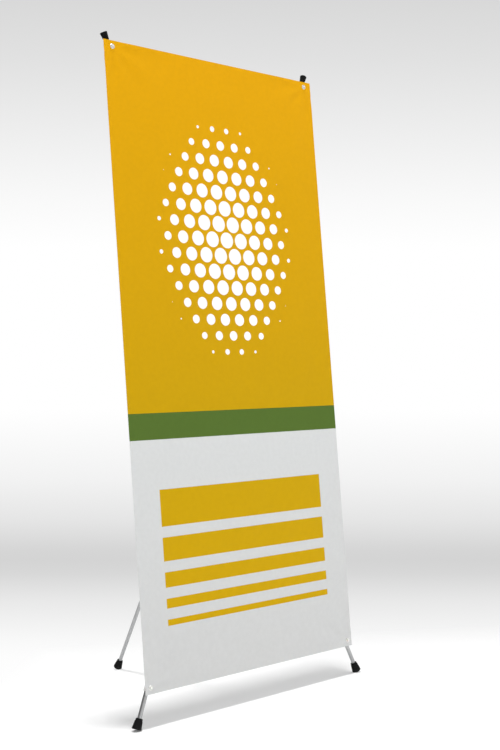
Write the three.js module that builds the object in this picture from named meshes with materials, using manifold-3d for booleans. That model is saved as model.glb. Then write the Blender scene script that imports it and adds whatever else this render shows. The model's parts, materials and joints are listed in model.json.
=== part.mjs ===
// X banner stand: a printed sheet hooked on four arms that spread from a hub, propped by a rear leg.
// Millimetres. X runs across the banner, Y runs back and Z is up, so the printed side faces -Y.
// The origin lies on the floor, below the middle of the stand's own box.

import * as THREE from 'three';
import { mergeVertices } from 'three/addons/utils/BufferGeometryUtils.js';
import Module from 'manifold-3d';

const wasm = await Module();
wasm.setup();

// Banner sheet, and how far the whole frame leans back
const bannerWidth = 800;
const bannerHeight = 1800;
const bannerThickness = 0.5;
const leanDegrees = 2;

// Gaps between pieces, and how far a cutter runs past what it cuts
const fitGap = 0.3;
const runningGap = 0.4;
const cutOverrun = 6;

// Tubes of the legs and of the lower half of each arm
const tubeDiameter = 12;
const tubeWall = 1.2;
const spigotLength = 24;

// Run of the arms and legs, seen square to the banner
const armCornerInset = 22;
const legCornerInset = 10;
const armStandOff = 14;
const capRise = 27;
const footDrop = 86;
const rearSpreadDegrees = 33;

// Ferrule between an arm's tube and its rod
const ferruleLength = 44;
const ferruleWall = 1.6;
const ferruleLip = 4;
const ferrulePlaceShare = 0.52;
const rodOverlap = 30;

// Black caps at the arms' tips and rubber feet at the legs' ends
const capLength = 30;
const capWall = 2.2;
const capFlare = 7;
const capSole = 6;
const footLength = 30;
const footWall = 3.3;
const footFlare = 8.3;
const footSole = 7.5;
const footEdgeRadius = 1.6;
const footFlat = 1;

// Eyelets, their washers and the pegs in them
const eyeletInset = 17;
const eyeletBore = 8;
const eyeletWall = 0.6;
const eyeletFlangeDiameter = 15;
const eyeletFlangeThickness = 1.1;
const eyeletLip = 0.8;
const eyeletLipThickness = 0.5;
const washerThickness = 0.6;
const washerDiameter = 14;

// Hooks clipped on the arms and legs
const hookLength = 20;
const hookWall = 2.4;
const hookSlit = 4;
const hookBead = 0.8;
const hookShoulderDiameter = 12;
const hookShoulderThickness = 2;
const hookStemDiameter = 8.5;
const pegGap = 0.75;
const pegReach = 3;

// Hinge knuckles and their pins
const knuckleDepth = 16;
const knuckleStopLength = 12;
const knuckleLength = 19;
const heelLength = 16;
const pinDiameter = 5;
const pinEndWall = 1.5;
const rivetHeadDiameter = 8;
const rivetHeadHeight = 1.6;

// Hub housing
const hubCoreRadius = 34;
const hubSlotWall = 5;
const hubSlotRoom = 3;
const hubCheekWall = 4;
const hubLobeReach = 12;
const hubLobeCornerRadius = 4;
const hubStopWeb = 3;
const hubBackDepth = 11.5;
const hubChamfer = 1.5;
const hubPadRadius = 20;
const hubPadHeight = 1.2;
const hubPadGroove = 1;
const forkStandOff = 13;
const forkCheekWall = 4.5;
const forkFootShare = 1.9;
const screwDiameter = 3.5;
const screwHeadDiameter = 7;
const screwHeadHeight = 2;
const screwSink = 2.4;
const screwTipCover = 3.5;
const screwRingShare = 0.7;
const screwDriveWidth = 1.1;
const screwDriveDepth = 1.1;

// Facets round the circular pieces
const roundFacets = 24;
const hubFacets = 28;
const eyeletFacets = 20;
const smallFacets = 16;
const screwFacets = 10;
const cornerFacets = 6;

// Sizes that follow from the ones above
const lean = THREE.MathUtils.degToRad(leanDegrees);
const rearSpread = THREE.MathUtils.degToRad(rearSpreadDegrees);
const hubHeight = bannerHeight / 2;
const armAngle = Math.atan2(bannerWidth / 2 - armCornerInset, hubHeight);
const legAngle = Math.atan2(bannerWidth / 2 - legCornerInset, hubHeight);
const armReach = hubHeight / Math.cos(armAngle) + capRise;
const legReach = (hubHeight + footDrop) / Math.cos(legAngle);
const armEyeletRun = (hubHeight - eyeletInset) / Math.cos(armAngle);
const legEyeletRun = (hubHeight - eyeletInset) / Math.cos(legAngle);
const tubeBore = tubeDiameter - 2 * tubeWall;
const rodDiameter = tubeBore - 2 * fitGap;
const capMouthDiameter = rodDiameter + 2 * fitGap + 2 * capWall;
const capEndDiameter = capMouthDiameter + capFlare;
const footMouthDiameter = tubeDiameter + 2 * fitGap + 2 * footWall;
const footEndDiameter = footMouthDiameter + footFlare;
const eyeRadius = knuckleDepth / 2;
const knuckleWidth = tubeDiameter;
const slotWidth = knuckleWidth + 2 * runningGap;
const slotStart = hubCoreRadius + hubSlotWall;
const pivotRun = slotStart + hubSlotRoom + eyeRadius;
const lobeEnd = pivotRun + hubLobeReach;
const lobeWidth = slotWidth + 2 * hubCheekWall;
const hubFrontDepth = eyeRadius + fitGap + hubStopWeb;
const pinBore = pinDiameter + 2 * fitGap;
const tubeStart = pivotRun + knuckleLength + fitGap;
const rearSwing = rearSpread + lean;
const rearPivotBack = hubBackDepth + forkStandOff;

const black = { color: 0x17181a, roughness: 0.55, metalness: 0 };
const rubber = { color: 0x141414, roughness: 0.85, metalness: 0 };
const silver = { color: 0xb9bbbd, roughness: 0.35, metalness: 0.9 };
const steel = { color: 0xc9cacc, roughness: 0.3, metalness: 1 };
const nylon = { color: 0xececea, roughness: 0.5, metalness: 0 };
const glassFibre = { color: 0xa9acae, roughness: 0.45, metalness: 0.1 };
const vinyl = { color: 0xdca500, roughness: 0.6, metalness: 0 };

// Shared vertices only, no collapsed triangles, and faces that point out.
function welded(geometry) {
  const bare = geometry.clone();
  bare.deleteAttribute('normal');
  bare.deleteAttribute('uv');
  const merged = mergeVertices(bare);
  const index = merged.index.array;
  const kept = [];
  for (let i = 0; i < index.length; i += 3) {
    const [a, b, c] = [index[i], index[i + 1], index[i + 2]];
    if (a !== b && b !== c && c !== a) {
      kept.push(a, b, c);
    }
  }
  merged.setIndex(kept);
  return volumeOf(merged) < 0 ? flipped(merged) : merged;
}

function volumeOf(geometry) {
  const corners = geometry.attributes.position;
  const index = geometry.index.array;
  const [a, b, c] = [new THREE.Vector3(), new THREE.Vector3(), new THREE.Vector3()];
  let sum = 0;
  for (let i = 0; i < index.length; i += 3) {
    a.fromBufferAttribute(corners, index[i]);
    b.fromBufferAttribute(corners, index[i + 1]);
    c.fromBufferAttribute(corners, index[i + 2]);
    sum += a.dot(b.cross(c)) / 6;
  }
  return sum;
}

function flipped(geometry) {
  const index = Array.from(geometry.index.array);
  for (let i = 0; i < index.length; i += 3) {
    [index[i], index[i + 1]] = [index[i + 1], index[i]];
  }
  geometry.setIndex(index);
  return geometry;
}

function toSolid(geometry) {
  const mesh = welded(geometry);
  return new wasm.Manifold(new wasm.Mesh({
    numProp: 3,
    vertProperties: Float32Array.from(mesh.attributes.position.array),
    triVerts: Uint32Array.from(mesh.index.array),
  }));
}

function toGeometry(solid) {
  const mesh = solid.getMesh();
  const geometry = new THREE.BufferGeometry();
  geometry.setAttribute('position', new THREE.BufferAttribute(Float32Array.from(mesh.vertProperties), 3));
  geometry.setIndex(Array.from(mesh.triVerts));
  return geometry;
}

// Joins the first shapes and takes the others away from them.
function carve(joined, removed = []) {
  let solid = toSolid(joined[0]);
  joined.slice(1).forEach((shape) => {
    solid = solid.add(toSolid(shape));
  });
  removed.forEach((shape) => {
    solid = solid.subtract(toSolid(shape));
  });
  return toGeometry(solid);
}

function overlapOf(one, other) {
  return toGeometry(toSolid(one).intersect(toSolid(other)));
}

// A revolved solid about Z. The profile is a list of [radius, height] pairs.
function revolved(profile, facets = roundFacets) {
  const points = profile.map(([radius, height]) => new THREE.Vector2(radius, height));
  return welded(new THREE.LatheGeometry(points, facets).rotateX(Math.PI / 2));
}

// A round bar along Z between two heights.
function roundBar(diameter, from, to, facets = roundFacets) {
  return revolved([[0, from], [diameter / 2, from], [diameter / 2, to], [0, to]], facets);
}

// A ring or pipe along Z between two heights.
function pipe(outer, inner, from, to, facets = roundFacets) {
  const profile = [[inner / 2, from], [outer / 2, from], [outer / 2, to], [inner / 2, to], [inner / 2, from]];
  return revolved(profile, facets);
}

// A box between two corners.
function block(low, high) {
  const size = high.map((value, axis) => value - low[axis]);
  const middle = high.map((value, axis) => (value + low[axis]) / 2);
  return new THREE.BoxGeometry(...size).translate(...middle);
}

// Points on an arc round a centre, both ends included.
function arcPoints(centre, radius, fromDegrees, toDegrees, steps) {
  return Array.from({ length: steps + 1 }, (_, i) => {
    const turn = THREE.MathUtils.degToRad(fromDegrees + (toDegrees - fromDegrees) * i / steps);
    return [centre[0] + radius * Math.cos(turn), centre[1] + radius * Math.sin(turn)];
  });
}

// An outline in X and Z pushed out along Y, from one depth back to another.
function slab(shape, front, back, facets, bevel = 0) {
  const geometry = new THREE.ExtrudeGeometry(shape, {
    depth: back - front - 2 * bevel,
    bevelEnabled: bevel > 0,
    bevelThickness: bevel,
    bevelSize: bevel,
    bevelOffset: -bevel,
    bevelSegments: 1,
    curveSegments: facets / 2,
  });
  return geometry.rotateX(Math.PI / 2).translate(0, back - bevel, 0);
}

// An outline in Y and Z pushed out along X, centred on X zero.
function crossSlab(outline, width) {
  const shape = new THREE.Shape(outline.map(([across, along]) => new THREE.Vector2(across, along)));
  const geometry = new THREE.ExtrudeGeometry(shape, { depth: width, bevelEnabled: false });
  geometry.translate(0, 0, -width / 2);
  return geometry.applyMatrix4(new THREE.Matrix4().makeBasis(
    new THREE.Vector3(0, 1, 0),
    new THREE.Vector3(0, 0, 1),
    new THREE.Vector3(1, 0, 0),
  ));
}

function piece(name, geometry, look) {
  const shown = welded(geometry).toNonIndexed();
  shown.computeVertexNormals();
  const mesh = new THREE.Mesh(shown, new THREE.MeshStandardMaterial(look));
  mesh.name = name;
  return mesh;
}

// Banner sheet and its four eyelets

function cornerPlaces() {
  const rise = hubHeight - eyeletInset;
  return [
    { corner: 'tl', x: -rise * Math.tan(armAngle), z: hubHeight + rise },
    { corner: 'tr', x: rise * Math.tan(armAngle), z: hubHeight + rise },
    { corner: 'bl', x: -rise * Math.tan(legAngle), z: hubHeight - rise },
    { corner: 'br', x: rise * Math.tan(legAngle), z: hubHeight - rise },
  ];
}

const barrelDiameter = eyeletBore + 2 * eyeletWall;
const sheetHole = barrelDiameter + 2 * fitGap;
const washerFront = bannerThickness / 2 + fitGap;
const lipFront = washerFront + washerThickness + fitGap;
const lipBack = lipFront + eyeletLipThickness;

function sheetGeometry() {
  const half = bannerWidth / 2;
  const shape = new THREE.Shape();
  shape.moveTo(-half, 0).lineTo(half, 0).lineTo(half, bannerHeight).lineTo(-half, bannerHeight);
  cornerPlaces().forEach(({ x, z }) => {
    shape.holes.push(new THREE.Path().absarc(x, z, sheetHole / 2, 0, 2 * Math.PI, true));
  });
  return slab(shape, -bannerThickness / 2, bannerThickness / 2, roundFacets);
}

// Flange in front, barrel through the sheet and a rolled lip behind the washer, revolved about Y.
function eyeletGeometry() {
  const seat = -bannerThickness / 2 - fitGap;
  const face = seat - eyeletFlangeThickness;
  const bore = eyeletBore / 2;
  const rim = eyeletFlangeDiameter / 2;
  const round = eyeletFlangeThickness / 2;
  const profile = [
    [bore, lipBack],
    [barrelDiameter / 2 + eyeletLip, lipBack],
    [barrelDiameter / 2 + eyeletLip, lipFront],
    [barrelDiameter / 2, lipFront],
    [barrelDiameter / 2, seat],
    ...arcPoints([rim - round, seat - round], round, 90, -90, 3),
    ...arcPoints([bore + round, face + round], round, -90, -180, 2),
    [bore, lipBack],
  ];
  return revolved(profile.map(([radius, depth]) => [radius, -depth]), eyeletFacets).rotateX(Math.PI / 2);
}

function washerGeometry() {
  const ring = pipe(washerDiameter, sheetHole, washerFront, washerFront + washerThickness, eyeletFacets);
  return ring.rotateX(-Math.PI / 2);
}

function bannerPieces() {
  const group = new THREE.Group();
  group.add(piece('banner_sheet', sheetGeometry(), vinyl));
  cornerPlaces().forEach(({ corner, x, z }) => {
    const eyelet = piece(`eyelet_${corner}`, eyeletGeometry(), steel);
    const washer = piece(`eyelet_washer_${corner}`, washerGeometry(), steel);
    eyelet.position.set(x, 0, z);
    washer.position.set(x, 0, z);
    group.add(eyelet, washer);
  });
  return group;
}

// Hinge knuckles, with Z along the arm from the pin and the front at -Y

function knuckleGeometry(removed = [], heel = 0) {
  const half = knuckleWidth / 2;
  const back = Math.sqrt(eyeRadius ** 2 - half ** 2);
  const fromBack = THREE.MathUtils.radToDeg(Math.atan2(back, half));
  const outline = [
    [-eyeRadius, knuckleStopLength],
    [half, knuckleStopLength],
    ...arcPoints([0, 0], eyeRadius, fromBack, -180, smallFacets),
  ];
  const neck = revolved([
    [0, 0], [eyeRadius, 0], [eyeRadius, knuckleStopLength / 2],
    [half, knuckleLength], [0, knuckleLength],
  ], smallFacets);
  const cheeks = block([-half, -eyeRadius, 0], [half, eyeRadius, knuckleLength + cutOverrun]);
  const joined = [
    crossSlab(outline, knuckleWidth),
    overlapOf(neck, cheeks),
    roundBar(rodDiameter, knuckleStopLength, knuckleLength + spigotLength),
  ];
  if (heel > 0) {
    joined.push(block([-half, -eyeRadius, -heel], [half, eyeRadius, 0]));
  }
  const bore = roundBar(pinBore, -knuckleWidth, knuckleWidth, smallFacets).rotateY(Math.PI / 2);
  return carve(joined, [bore, ...removed]);
}

// Feet and caps, with Z running out to the closed end

function endCapGeometry(sizes) {
  const { mouth, end, hole, length, sole } = sizes;
  const edge = footEdgeRadius;
  const lip = (mouth - hole) / 4;
  const profile = [
    [hole / 2, 0],
    [mouth / 2 - lip, 0],
    [mouth / 2, lip],
    ...arcPoints([end / 2 - edge, length - edge], edge, 0, 90, 2),
    [0, length],
    [0, length - sole],
    [hole / 2, length - sole],
    [hole / 2, 0],
  ];
  return revolved(profile);
}

function footGeometry() {
  const hole = tubeDiameter + 2 * fitGap;
  return endCapGeometry({
    mouth: footMouthDiameter, end: footEndDiameter, hole, length: footLength, sole: footSole,
  });
}

function capGeometry() {
  const hole = rodDiameter + 2 * fitGap;
  return endCapGeometry({
    mouth: capMouthDiameter, end: capEndDiameter, hole, length: capLength, sole: capSole,
  });
}

// Hook: a split sleeve with beaded ends, a stem forward, a flat shoulder and a peg through the eyelet
function hookGeometry(barDiameter) {
  const inner = barDiameter + 2 * fitGap;
  const outer = inner + 2 * hookWall;
  const half = hookLength / 2;
  const bead = 2 * hookBead;
  const sleeve = revolved([
    [inner / 2, -half], [outer / 2 + hookBead, -half], [outer / 2 + hookBead, bead - half],
    [outer / 2, 2 * bead - half], [outer / 2, half - 2 * bead],
    [outer / 2 + hookBead, half - bead], [outer / 2 + hookBead, half], [inner / 2, half],
    [inner / 2, -half],
  ], smallFacets);
  const shoulder = armStandOff - lipBack - fitGap;
  const tip = armStandOff + bannerThickness / 2 + fitGap + eyeletFlangeThickness + pegReach;
  const peg = eyeletBore / 2 - pegGap;
  const pegTip = arcPoints([0, 0], peg, 0, 90, 3).map(([across, up]) => [across, tip + (up - peg) / 2]);
  const stem = revolved([
    [0, inner / 2], [hookStemDiameter / 2, inner / 2],
    [hookStemDiameter / 2, shoulder - 2 * hookShoulderThickness],
    [hookShoulderDiameter / 2, shoulder - hookShoulderThickness],
    [hookShoulderDiameter / 2, shoulder],
    [peg, shoulder],
    ...pegTip,
  ], smallFacets).rotateX(Math.PI / 2);
  const bore = roundBar(inner, -hookLength, hookLength, smallFacets);
  const slit = block([-hookSlit / 2, 0, -hookLength], [hookSlit / 2, outer, hookLength]);
  return carve([sleeve, stem], [bore, slit]);
}

// An upper arm: knuckle, tube, ferrule, rod, hook and cap, with Z out from the hub's middle
function armPieces(side) {
  const group = new THREE.Group();
  const ferrulePlace = tubeStart + (armReach - tubeStart) * ferrulePlaceShare;
  const knuckle = piece(`arm_knuckle_${side}`, knuckleGeometry(), black);
  knuckle.position.z = pivotRun;
  const tube = piece(`arm_tube_${side}`, pipe(tubeDiameter, tubeBore, tubeStart, ferrulePlace), silver);
  const ferruleOuter = tubeDiameter + 2 * fitGap + 2 * ferruleWall;
  const shoulder = ferrulePlace + fitGap;
  const ferrule = piece(`arm_ferrule_${side}`, revolved([
    [tubeDiameter / 2 + fitGap, ferrulePlace - ferruleLength / 2],
    [ferruleOuter / 2, ferrulePlace - ferruleLength / 2],
    [ferruleOuter / 2, ferrulePlace + ferruleLength / 2 - ferruleLip],
    [rodDiameter / 2 + fitGap + ferruleWall / 2, ferrulePlace + ferruleLength / 2],
    [rodDiameter / 2 + fitGap, ferrulePlace + ferruleLength / 2],
    [rodDiameter / 2 + fitGap, shoulder],
    [tubeDiameter / 2 + fitGap, shoulder],
    [tubeDiameter / 2 + fitGap, ferrulePlace - ferruleLength / 2],
  ]), black);
  const rodEnd = armReach - capSole - fitGap;
  const rod = piece(`arm_rod_${side}`, roundBar(rodDiameter, ferrulePlace - rodOverlap, rodEnd), glassFibre);
  const cap = piece(`arm_cap_${side}`, capGeometry(), rubber);
  cap.position.z = armReach - capLength;
  const hook = piece(`hook_t${side}`, hookGeometry(rodDiameter), nylon);
  hook.position.z = armEyeletRun;
  group.add(knuckle, tube, ferrule, rod, cap, hook);
  return group;
}

// A front leg: knuckle, tube, hook and foot, with Z out from the hub's middle
function frontLegPieces(side) {
  const group = new THREE.Group();
  const knuckle = piece(`front_leg_knuckle_${side}`, knuckleGeometry(), black);
  knuckle.position.z = pivotRun;
  const tubeEnd = legReach - footSole - fitGap;
  const tube = piece(`front_leg_tube_${side}`, pipe(tubeDiameter, tubeBore, tubeStart, tubeEnd), silver);
  const foot = piece(`front_foot_${side}`, footGeometry(), rubber);
  foot.position.z = legReach - footLength;
  const hook = piece(`hook_b${side}`, hookGeometry(tubeDiameter), nylon);
  hook.position.z = legEyeletRun;
  group.add(knuckle, tube, foot, hook);
  return group;
}

// The rear leg turns on the fork behind the hub. Z runs out from its pin.
function rearLegPieces(reach) {
  const group = new THREE.Group();
  group.rotation.x = rearSwing - Math.PI;
  const room = 2 * (forkStandOff + heelLength);
  const wall = block([-room, -room, -room], [room, fitGap - forkStandOff, room]);
  wall.applyMatrix4(new THREE.Matrix4().makeRotationX(-group.rotation.x));
  const knuckle = piece('rear_leg_knuckle', knuckleGeometry([wall], heelLength), black);
  const tubeEnd = reach - footSole - fitGap;
  const tube = piece('rear_leg_tube', pipe(tubeDiameter, tubeBore, knuckleLength + fitGap, tubeEnd), silver);
  const foot = piece('rear_foot', footGeometry(), rubber);
  foot.position.z = reach - footLength;
  group.add(knuckle, tube, foot);
  return group;
}

// Hub housing: a round core with four lobes, each slotted for a knuckle and bored for its pin.
// It is made whole and then parted at the pins' plane into a front and a rear shell.

const armTurns = {
  tl: -armAngle,
  tr: armAngle,
  bl: Math.PI + legAngle,
  br: Math.PI - legAngle,
};

function lobeShape() {
  const half = lobeWidth / 2;
  const corner = hubLobeCornerRadius;
  const shape = new THREE.Shape();
  shape.moveTo(-half, 0).lineTo(half, 0).lineTo(half, lobeEnd - corner);
  shape.absarc(half - corner, lobeEnd - corner, corner, 0, Math.PI / 2, false);
  shape.lineTo(corner - half, lobeEnd);
  shape.absarc(corner - half, lobeEnd - corner, corner, Math.PI / 2, Math.PI, false);
  return shape;
}

function forkCheek(side) {
  const far = forkStandOff + hubChamfer;
  const foot = eyeRadius * forkFootShare;
  const round = arcPoints([0, 0], eyeRadius, 90, -90, smallFacets);
  const outline = [[-far, -foot], ...round.reverse(), [-far, foot]];
  const cheek = crossSlab(outline, forkCheekWall);
  cheek.translate(side * (slotWidth + forkCheekWall) / 2, rearPivotBack, 0);
  return cheek;
}

function screwPlaces() {
  const ring = hubCoreRadius * screwRingShare;
  return [
    { place: 'left', x: -ring, z: 0 },
    { place: 'right', x: ring, z: 0 },
    { place: 'top', x: 0, z: ring },
    { place: 'bottom', x: 0, z: -ring },
  ];
}

const screwSeat = hubBackDepth - screwSink;
const screwTip = screwTipCover - hubFrontDepth;

function housingSolid() {
  const core = revolved([
    [0, -hubFrontDepth], [hubCoreRadius - hubChamfer, -hubFrontDepth],
    [hubCoreRadius, hubChamfer - hubFrontDepth], [hubCoreRadius, hubBackDepth - hubChamfer],
    [hubCoreRadius - hubChamfer, hubBackDepth], [0, hubBackDepth],
  ], hubFacets).rotateX(-Math.PI / 2);
  const pad = revolved([
    [0, 0], [hubPadRadius, 0], [hubPadRadius, hubFrontDepth],
    [hubPadRadius - hubPadHeight, hubFrontDepth + hubPadHeight], [0, hubFrontDepth + hubPadHeight],
  ], hubFacets).rotateX(Math.PI / 2);
  const grooveFace = hubFrontDepth + hubPadHeight;
  const groove = pipe(
    2 * (hubPadRadius - 3 * hubPadGroove), 2 * (hubPadRadius - 4 * hubPadGroove),
    grooveFace - hubPadGroove, grooveFace + hubPadGroove, hubFacets,
  ).rotateX(Math.PI / 2);
  const joined = [core, pad, forkCheek(-1), forkCheek(1)];
  const removed = [groove];
  const slotFront = -eyeRadius - fitGap;
  const pinRoom = lobeWidth / 2 - pinEndWall;
  Object.values(armTurns).forEach((turn) => {
    const lobe = slab(lobeShape(), -hubFrontDepth, hubBackDepth, cornerFacets, hubChamfer);
    const slot = block(
      [-slotWidth / 2, slotFront, slotStart],
      [slotWidth / 2, hubBackDepth + cutOverrun, lobeEnd + cutOverrun],
    );
    const bore = roundBar(pinBore, -pinRoom, pinRoom, smallFacets).rotateY(Math.PI / 2);
    bore.translate(0, 0, pivotRun);
    joined.push(lobe.rotateY(turn));
    removed.push(slot.rotateY(turn), bore.rotateY(turn));
  });
  screwPlaces().forEach(({ x, z }) => {
    const head = roundBar(screwHeadDiameter + 2 * fitGap, screwSeat, hubBackDepth + cutOverrun, smallFacets);
    const shank = roundBar(screwDiameter + 2 * fitGap, screwTip - fitGap, hubBackDepth, smallFacets);
    removed.push(head.rotateX(-Math.PI / 2).translate(x, 0, z));
    removed.push(shank.rotateX(-Math.PI / 2).translate(x, 0, z));
  });
  const forkWidth = slotWidth + 2 * forkCheekWall + cutOverrun;
  const forkBore = roundBar(pinBore, -forkWidth / 2, forkWidth / 2, smallFacets).rotateY(Math.PI / 2);
  removed.push(forkBore.translate(0, rearPivotBack, 0));
  return carve(joined, removed);
}

function hubPieces() {
  const group = new THREE.Group();
  const housing = housingSolid();
  const room = 2 * lobeEnd;
  const frontHalf = block([-room, -room, -room], [room, -fitGap / 2, room]);
  const rearHalf = block([-room, fitGap / 2, -room], [room, room, room]);
  group.add(piece('hub_front_shell', overlapOf(housing, frontHalf), black));
  group.add(piece('hub_rear_shell', overlapOf(housing, rearHalf), black));
  const pinHalf = lobeWidth / 2 - pinEndWall - fitGap;
  const pinNames = { tl: 'arm_pin_l', tr: 'arm_pin_r', bl: 'front_leg_pin_l', br: 'front_leg_pin_r' };
  Object.entries(armTurns).forEach(([corner, turn]) => {
    const pin = roundBar(pinDiameter, -pinHalf, pinHalf, smallFacets).rotateY(Math.PI / 2);
    pin.translate(0, 0, pivotRun);
    group.add(piece(pinNames[corner], pin.rotateY(turn), steel));
  });
  group.add(piece('rear_leg_pin', rivetGeometry(), steel));
  screwPlaces().forEach(({ place, x, z }) => {
    const screw = piece(`hub_screw_${place}`, screwGeometry(), steel);
    screw.position.set(x, 0, z);
    group.add(screw);
  });
  return group;
}

// Rivet through the fork, with a domed head outside each cheek
function rivetGeometry() {
  const reach = slotWidth / 2 + forkCheekWall + fitGap;
  const head = rivetHeadDiameter / 2;
  const dome = arcPoints([0, 0], 1, 0, 90, 3).map(([across, up]) => [
    across * head, reach + up * rivetHeadHeight,
  ]);
  const upper = [[pinDiameter / 2, reach], ...dome];
  const lower = upper.map(([radius, height]) => [radius, -height]).reverse();
  return revolved([...lower, ...upper], smallFacets)
    .rotateY(Math.PI / 2)
    .translate(0, rearPivotBack, 0);
}

// Pan head screw driven from behind, with a crossed drive
function screwGeometry() {
  const seat = screwSeat + fitGap;
  const head = screwHeadDiameter / 2;
  const dome = arcPoints([0, 0], 1, 20, 70, 2).map(([across, up]) => [
    across * head, seat + up * screwHeadHeight,
  ]);
  const top = seat + screwHeadHeight;
  const shank = screwDiameter / 2;
  const body = revolved([
    [0, screwTip], [shank / 2, screwTip], [shank, screwTip + shank],
    [shank, seat], [head, seat], ...dome, [0, top],
  ], screwFacets);
  const arm = head / 2;
  const drives = [[arm, screwDriveWidth / 2], [screwDriveWidth / 2, arm]].map(([x, y]) => (
    block([-x, -y, top - screwDriveDepth], [x, y, top + cutOverrun])
  ));
  return carve([body], drives).rotateX(-Math.PI / 2);
}

// Assembly: everything hangs on the leaning frame, whose zero is the middle of the sheet's bottom edge

function standPieces() {
  const stand = new THREE.Group();
  stand.rotation.x = -lean;
  const hub = hubPieces();
  hub.position.set(0, armStandOff, hubHeight);
  const arms = {
    tl: armPieces('l'), tr: armPieces('r'), bl: frontLegPieces('l'), br: frontLegPieces('r'),
  };
  Object.entries(arms).forEach(([corner, arm]) => {
    arm.position.copy(hub.position);
    arm.rotation.y = armTurns[corner];
  });
  stand.add(bannerPieces(), hub, ...Object.values(arms));
  stand.updateMatrixWorld(true);
  const floor = new THREE.Box3().setFromObject(stand, true).min.z;
  const pivot = new THREE.Vector3(0, armStandOff + rearPivotBack, hubHeight).applyEuler(stand.rotation);
  const rimDrop = (footEndDiameter / 2 - footEdgeRadius) * Math.sin(rearSpread) + footEdgeRadius;
  const reach = footEdgeRadius + (pivot.z - floor - rimDrop) / Math.cos(rearSpread);
  const rearLeg = rearLegPieces(reach);
  rearLeg.position.set(0, armStandOff + rearPivotBack, hubHeight);
  stand.add(rearLeg);
  return stand;
}

// Lowers the stand until its feet are a little under the floor, and cuts their flats there.
function settle(stand) {
  stand.updateMatrixWorld(true);
  const box = new THREE.Box3().setFromObject(stand, true);
  stand.position.y -= (box.min.y + box.max.y) / 2;
  stand.position.z -= box.min.z + footFlat;
  stand.updateMatrixWorld(true);
  const room = bannerHeight;
  const ground = block([-room, -room, -room], [room, room, 0]);
  ['front_foot_l', 'front_foot_r', 'rear_foot'].forEach((name) => {
    const foot = stand.getObjectByName(name);
    const below = ground.clone().applyMatrix4(foot.matrixWorld.clone().invert());
    const flat = piece(name, carve([foot.geometry], [below]), rubber);
    foot.geometry = flat.geometry;
  });
  return stand;
}

const model = new THREE.Group();
model.add(settle(standPieces()));

export default model;
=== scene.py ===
"""Looks of an X banner stand: a printed sheet on four arms, a moulded hub and a folding rear leg.

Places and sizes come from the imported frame. What a user may change is in the property groups, and small
details are named where they are used. Lengths are in metres.
"""

import json
import math

import bmesh
import bpy
import numpy as np
from bpy.props import FloatProperty, FloatVectorProperty, IntProperty, PointerProperty
from mathutils import Matrix, Vector


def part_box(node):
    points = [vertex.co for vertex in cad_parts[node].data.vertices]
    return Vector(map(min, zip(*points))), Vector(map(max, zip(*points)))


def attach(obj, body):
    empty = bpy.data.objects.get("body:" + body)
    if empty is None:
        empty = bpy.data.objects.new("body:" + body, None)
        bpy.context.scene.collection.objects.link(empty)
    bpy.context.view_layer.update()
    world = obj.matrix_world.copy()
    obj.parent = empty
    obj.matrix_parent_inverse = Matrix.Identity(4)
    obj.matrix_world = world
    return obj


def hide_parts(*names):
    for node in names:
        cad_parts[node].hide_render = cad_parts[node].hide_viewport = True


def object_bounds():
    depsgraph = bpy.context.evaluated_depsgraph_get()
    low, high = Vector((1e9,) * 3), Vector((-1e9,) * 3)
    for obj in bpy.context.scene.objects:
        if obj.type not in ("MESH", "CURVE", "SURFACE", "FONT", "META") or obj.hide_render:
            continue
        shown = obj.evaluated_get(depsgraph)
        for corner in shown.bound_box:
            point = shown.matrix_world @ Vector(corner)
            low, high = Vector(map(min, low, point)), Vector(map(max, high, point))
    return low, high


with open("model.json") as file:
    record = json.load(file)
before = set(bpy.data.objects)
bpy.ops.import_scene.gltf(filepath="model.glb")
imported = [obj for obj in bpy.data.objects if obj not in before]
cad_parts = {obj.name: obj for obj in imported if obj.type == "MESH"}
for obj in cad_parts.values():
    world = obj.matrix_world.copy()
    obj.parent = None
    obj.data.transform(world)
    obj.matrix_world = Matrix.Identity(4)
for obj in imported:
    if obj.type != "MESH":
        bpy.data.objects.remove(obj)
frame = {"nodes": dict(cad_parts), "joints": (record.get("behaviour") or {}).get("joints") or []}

bl_info = {
    "name": "X banner stand",
    "version": (1, 0, 0),
    "blender": (4, 5, 0),
    "location": "3D View > Sidebar > Banner Stand",
    "description": "Builds the looks of a folding banner stand round its packed frame",
    "category": "Object",
}

NODES = frame["nodes"]
CAD_BOX = [list(corner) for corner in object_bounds()]
MM = 0.001
UP = Vector((0, 0, 1))
ACROSS = Vector((1, 0, 0))
BLACK, WHITE = (0, 0, 0), (1, 1, 1)
HOOK_BODIES = {"tl": "arm_l", "tr": "arm_r", "bl": "front_leg_l", "br": "front_leg_r"}
CORNERS = tuple(HOOK_BODIES)
FRONT_LIMBS = [(kind, side) for kind in ("arm", "front_leg") for side in "lr"]
SCRIM_PITCH = 1.1 * MM

# The values that cloudy noise mostly takes, and a narrower range for stronger contrast
NOISE_SPAN = (0.3, 0.7)
STRONG_NOISE_SPAN = (0.35, 0.65)

# A radius that counts as on the axis, and a distance at which two points are one
ON_AXIS = 1e-7
SAME_PLACE = 1e-9

# How far along a foot or cap its mouth's rings are looked for
MOUTH_SPAN = 2 * MM


# Places read from the frame


def joint_named(name):
    return next(joint for joint in frame["joints"] if joint["name"] == name)


def middle_of(node):
    low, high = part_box(node)
    return (low + high) / 2


def points_of(node):
    mesh = NODES[node].data
    places = np.zeros(len(mesh.vertices) * 3)
    mesh.vertices.foreach_get("co", places)
    return places.reshape(-1, 3)


SHEET_FRONT = Vector(joint_named("banner_off")["axis"])
SHEET_UP = ACROSS.cross(SHEET_FRONT).normalized() * -1
SHEET_MIDDLE = middle_of("banner_sheet")


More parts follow.
